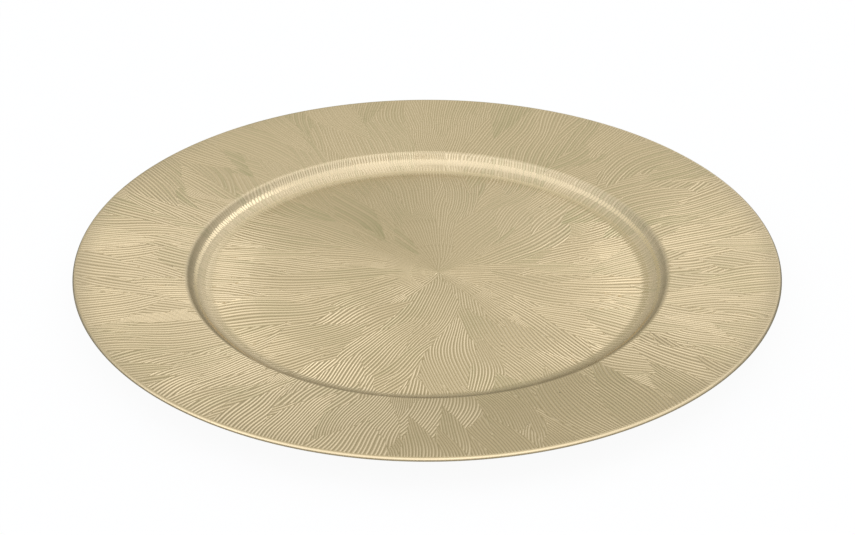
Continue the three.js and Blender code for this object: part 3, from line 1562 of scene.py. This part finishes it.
@dataclass
class Studio:
    """The floor, the light and the camera.

    A heading is a part of the direction in which light is seen from the plate: +X to the right, +Y away
    from the viewer, +Z up.

    Attributes:
        floor_finish: The floor's finish.
        floor_half: Half of the floor's width.
        far_wall: Light of the far wall.
        ceiling: Light of the ceiling.
        wall_span: Headings along +Y between which the wall turns into the ceiling.
        key: Light that is added over the viewer.
        key_span: Headings along +Y between which it sets in.
        left_side: Factor on the light at the left.
        right_side: Factor on the light at the right.
        side_span: Headings along +X between which the one turns into the other.
        horizon: Light of the low part of the room.
        behind: Light of that part behind the viewer.
        low_span: Headings along +Z between which the low part ends.
        behind_span: Headings along +Y between which the part behind the viewer sets in.
        warm: Tint of the darkest light.
        cool: Tint of the brightest light.
        lamps: The bright patches.
        box_size: Width and depth of the softbox.
        box_place: Place of the softbox.
        box_power: Its power in watts.
        camera_distance: Distance of the camera from its target.
        camera_elevation: Angle of the camera above the floor.
        camera_target: Place that the camera looks at.
        focal_pixels: Focal length in pixels of the picture.
        image_width: Width of the picture in pixels.
        sensor: Width of the camera's sensor in millimetres.
    """

    floor_finish: FloorFinish
    floor_half: float = 40.0
    far_wall: float = 0.465
    ceiling: float = 1.12
    wall_span: Pair = (0.9, -0.15)
    key: float = 0.04
    key_span: Pair = (-0.05, -0.4)
    left_side: float = 1.13
    right_side: float = 1.08
    side_span: Pair = (-0.7, 0.7)
    horizon: float = 0.58
    behind: float = 0.30
    low_span: Pair = (0.20, 0.45)
    behind_span: Pair = (-0.25, -0.7)
    warm: Colour = (1.0, 1.0, 0.88)
    cool: Colour = (0.965, 1.0, 1.10)
    lamps: tuple[Lamp, ...] = (
        Lamp(aim=(0.30, 0.85, 0.43), edge=0.955, full=0.990, light=0.58),
        Lamp(aim=(0.52, 0.52, 0.68), edge=0.950, full=0.985, light=0.85),
        Lamp(aim=(-0.45, 0.45, 0.77), edge=0.930, full=0.985, light=0.18),
        Lamp(aim=(-0.90, -0.05, 0.43), edge=0.850, full=0.970, light=0.90),
    )
    box_size: Pair = (1.0, 0.8)
    box_place: Triple = (0.35, -0.55, 1.5)
    box_power: float = 1.0
    camera_distance: float = 0.9730
    camera_elevation: float = math.radians(30.537)
    camera_target: Triple = (0.15 * MM, 0.97 * MM, 8.0 * MM)
    focal_pixels: float = 2059.6
    image_width: int = 855
    sensor: float = 36.0

    def build(self) -> None:
        """Makes the stage round the plate."""
        self._floor()
        self._world()
        self._softbox()
        self._camera()
        bpy.context.scene.view_settings.view_transform = "Standard"

    def _floor(self) -> None:
        """A wide level floor under the plate."""
        half = self.floor_half
        corners = np.array([[-half, -half, 0], [half, -half, 0], [half, half, 0], [-half, half, 0]])
        floor = mesh_object("studio_floor", corners, [np.array([[0, 1, 2, 3]])], math.pi)
        floor.data.materials.append(self.floor_finish.material())

    def _world(self) -> None:
        """A room that is brighter and cooler from the far wall to the ceiling, and darker near the floor."""
        world = bpy.data.worlds.new("studio")
        bpy.context.scene.world = world
        world.use_nodes = True
        board = NodeBoard(world.node_tree)
        heading = board.add("ShaderNodeTexCoord").outputs["Generated"]
        x, y, z = board.parts(heading)
        high = board.ramp(y, self.wall_span, (self.far_wall, self.ceiling))
        high = board.math("ADD", high, board.ramp(y, self.key_span, (0.0, self.key)))
        for lamp in self.lamps:
            cosine = board.add("ShaderNodeVectorMath", {0: heading, 1: lamp.aim}, operation="DOT_PRODUCT")
            patch = board.ramp(cosine.outputs["Value"], (lamp.edge, lamp.full), (0.0, lamp.light))
            high = board.math("ADD", high, patch)
        sides = board.ramp(x, self.side_span, (self.left_side, self.right_side))
        high = board.math("MULTIPLY", high, sides)
        low = board.ramp(z, self.low_span, (1.0, 0.0))
        room = board.mix(low, high, opaque((self.horizon,) * 3))
        behind = board.math("MULTIPLY", board.ramp(y, self.behind_span), low)
        room = board.mix(behind, room, opaque((self.behind,) * 3))
        bright = board.ramp(room, (self.far_wall, self.ceiling))
        tint = board.mix(bright, opaque(self.warm), opaque(self.cool))
        room = board.mix(1.0, room, tint, "MULTIPLY")
        back = board.add("ShaderNodeBackground", {"Color": room, "Strength": 1.0})
        board.add("ShaderNodeOutputWorld", {"Surface": back.outputs[0]})

    def _softbox(self) -> None:
        """One large softbox over the plate."""
        lamp = bpy.data.lights.new("softbox", "AREA")
        lamp.shape = "RECTANGLE"
        lamp.size, lamp.size_y = self.box_size
        lamp.energy = self.box_power
        box = bpy.data.objects.new("softbox", lamp)
        box.location = self.box_place
        box.rotation_euler = Vector(self.box_place).to_track_quat("Z", "Y").to_euler()
        bpy.context.scene.collection.objects.link(box)

    def _camera(self) -> None:
        """The camera at the photograph's angle."""
        data = bpy.data.cameras.new("camera")
        data.sensor_fit = "HORIZONTAL"
        data.sensor_width = self.sensor
        data.lens = self.focal_pixels * self.sensor / self.image_width
        camera = bpy.data.objects.new("camera", data)
        away = Vector((0.0, -math.cos(self.camera_elevation), math.sin(self.camera_elevation)))
        camera.location = Vector(self.camera_target) + away * self.camera_distance
        camera.rotation_euler = away.to_track_quat("Z", "Y").to_euler()
        bpy.context.scene.collection.objects.link(camera)
        bpy.context.scene.camera = camera


def main() -> None:
    """Builds the plate and its studio, and reports each piece."""
    logging.basicConfig(level=logging.INFO, format="%(name)s: %(message)s")
    section = PlateSection()
    Studio(FloorFinish()).build()
    for part in (MouldedBlank(section, MouldedFinish()), GoldFilm(section, CombedPattern(), GoldFinish())):
        piece = part.build()
        mesh = piece.data
        LOG.info("%s: %d vertices, %d faces", piece.name, len(mesh.vertices), len(mesh.polygons))


if __name__ == "__main__":
    main()
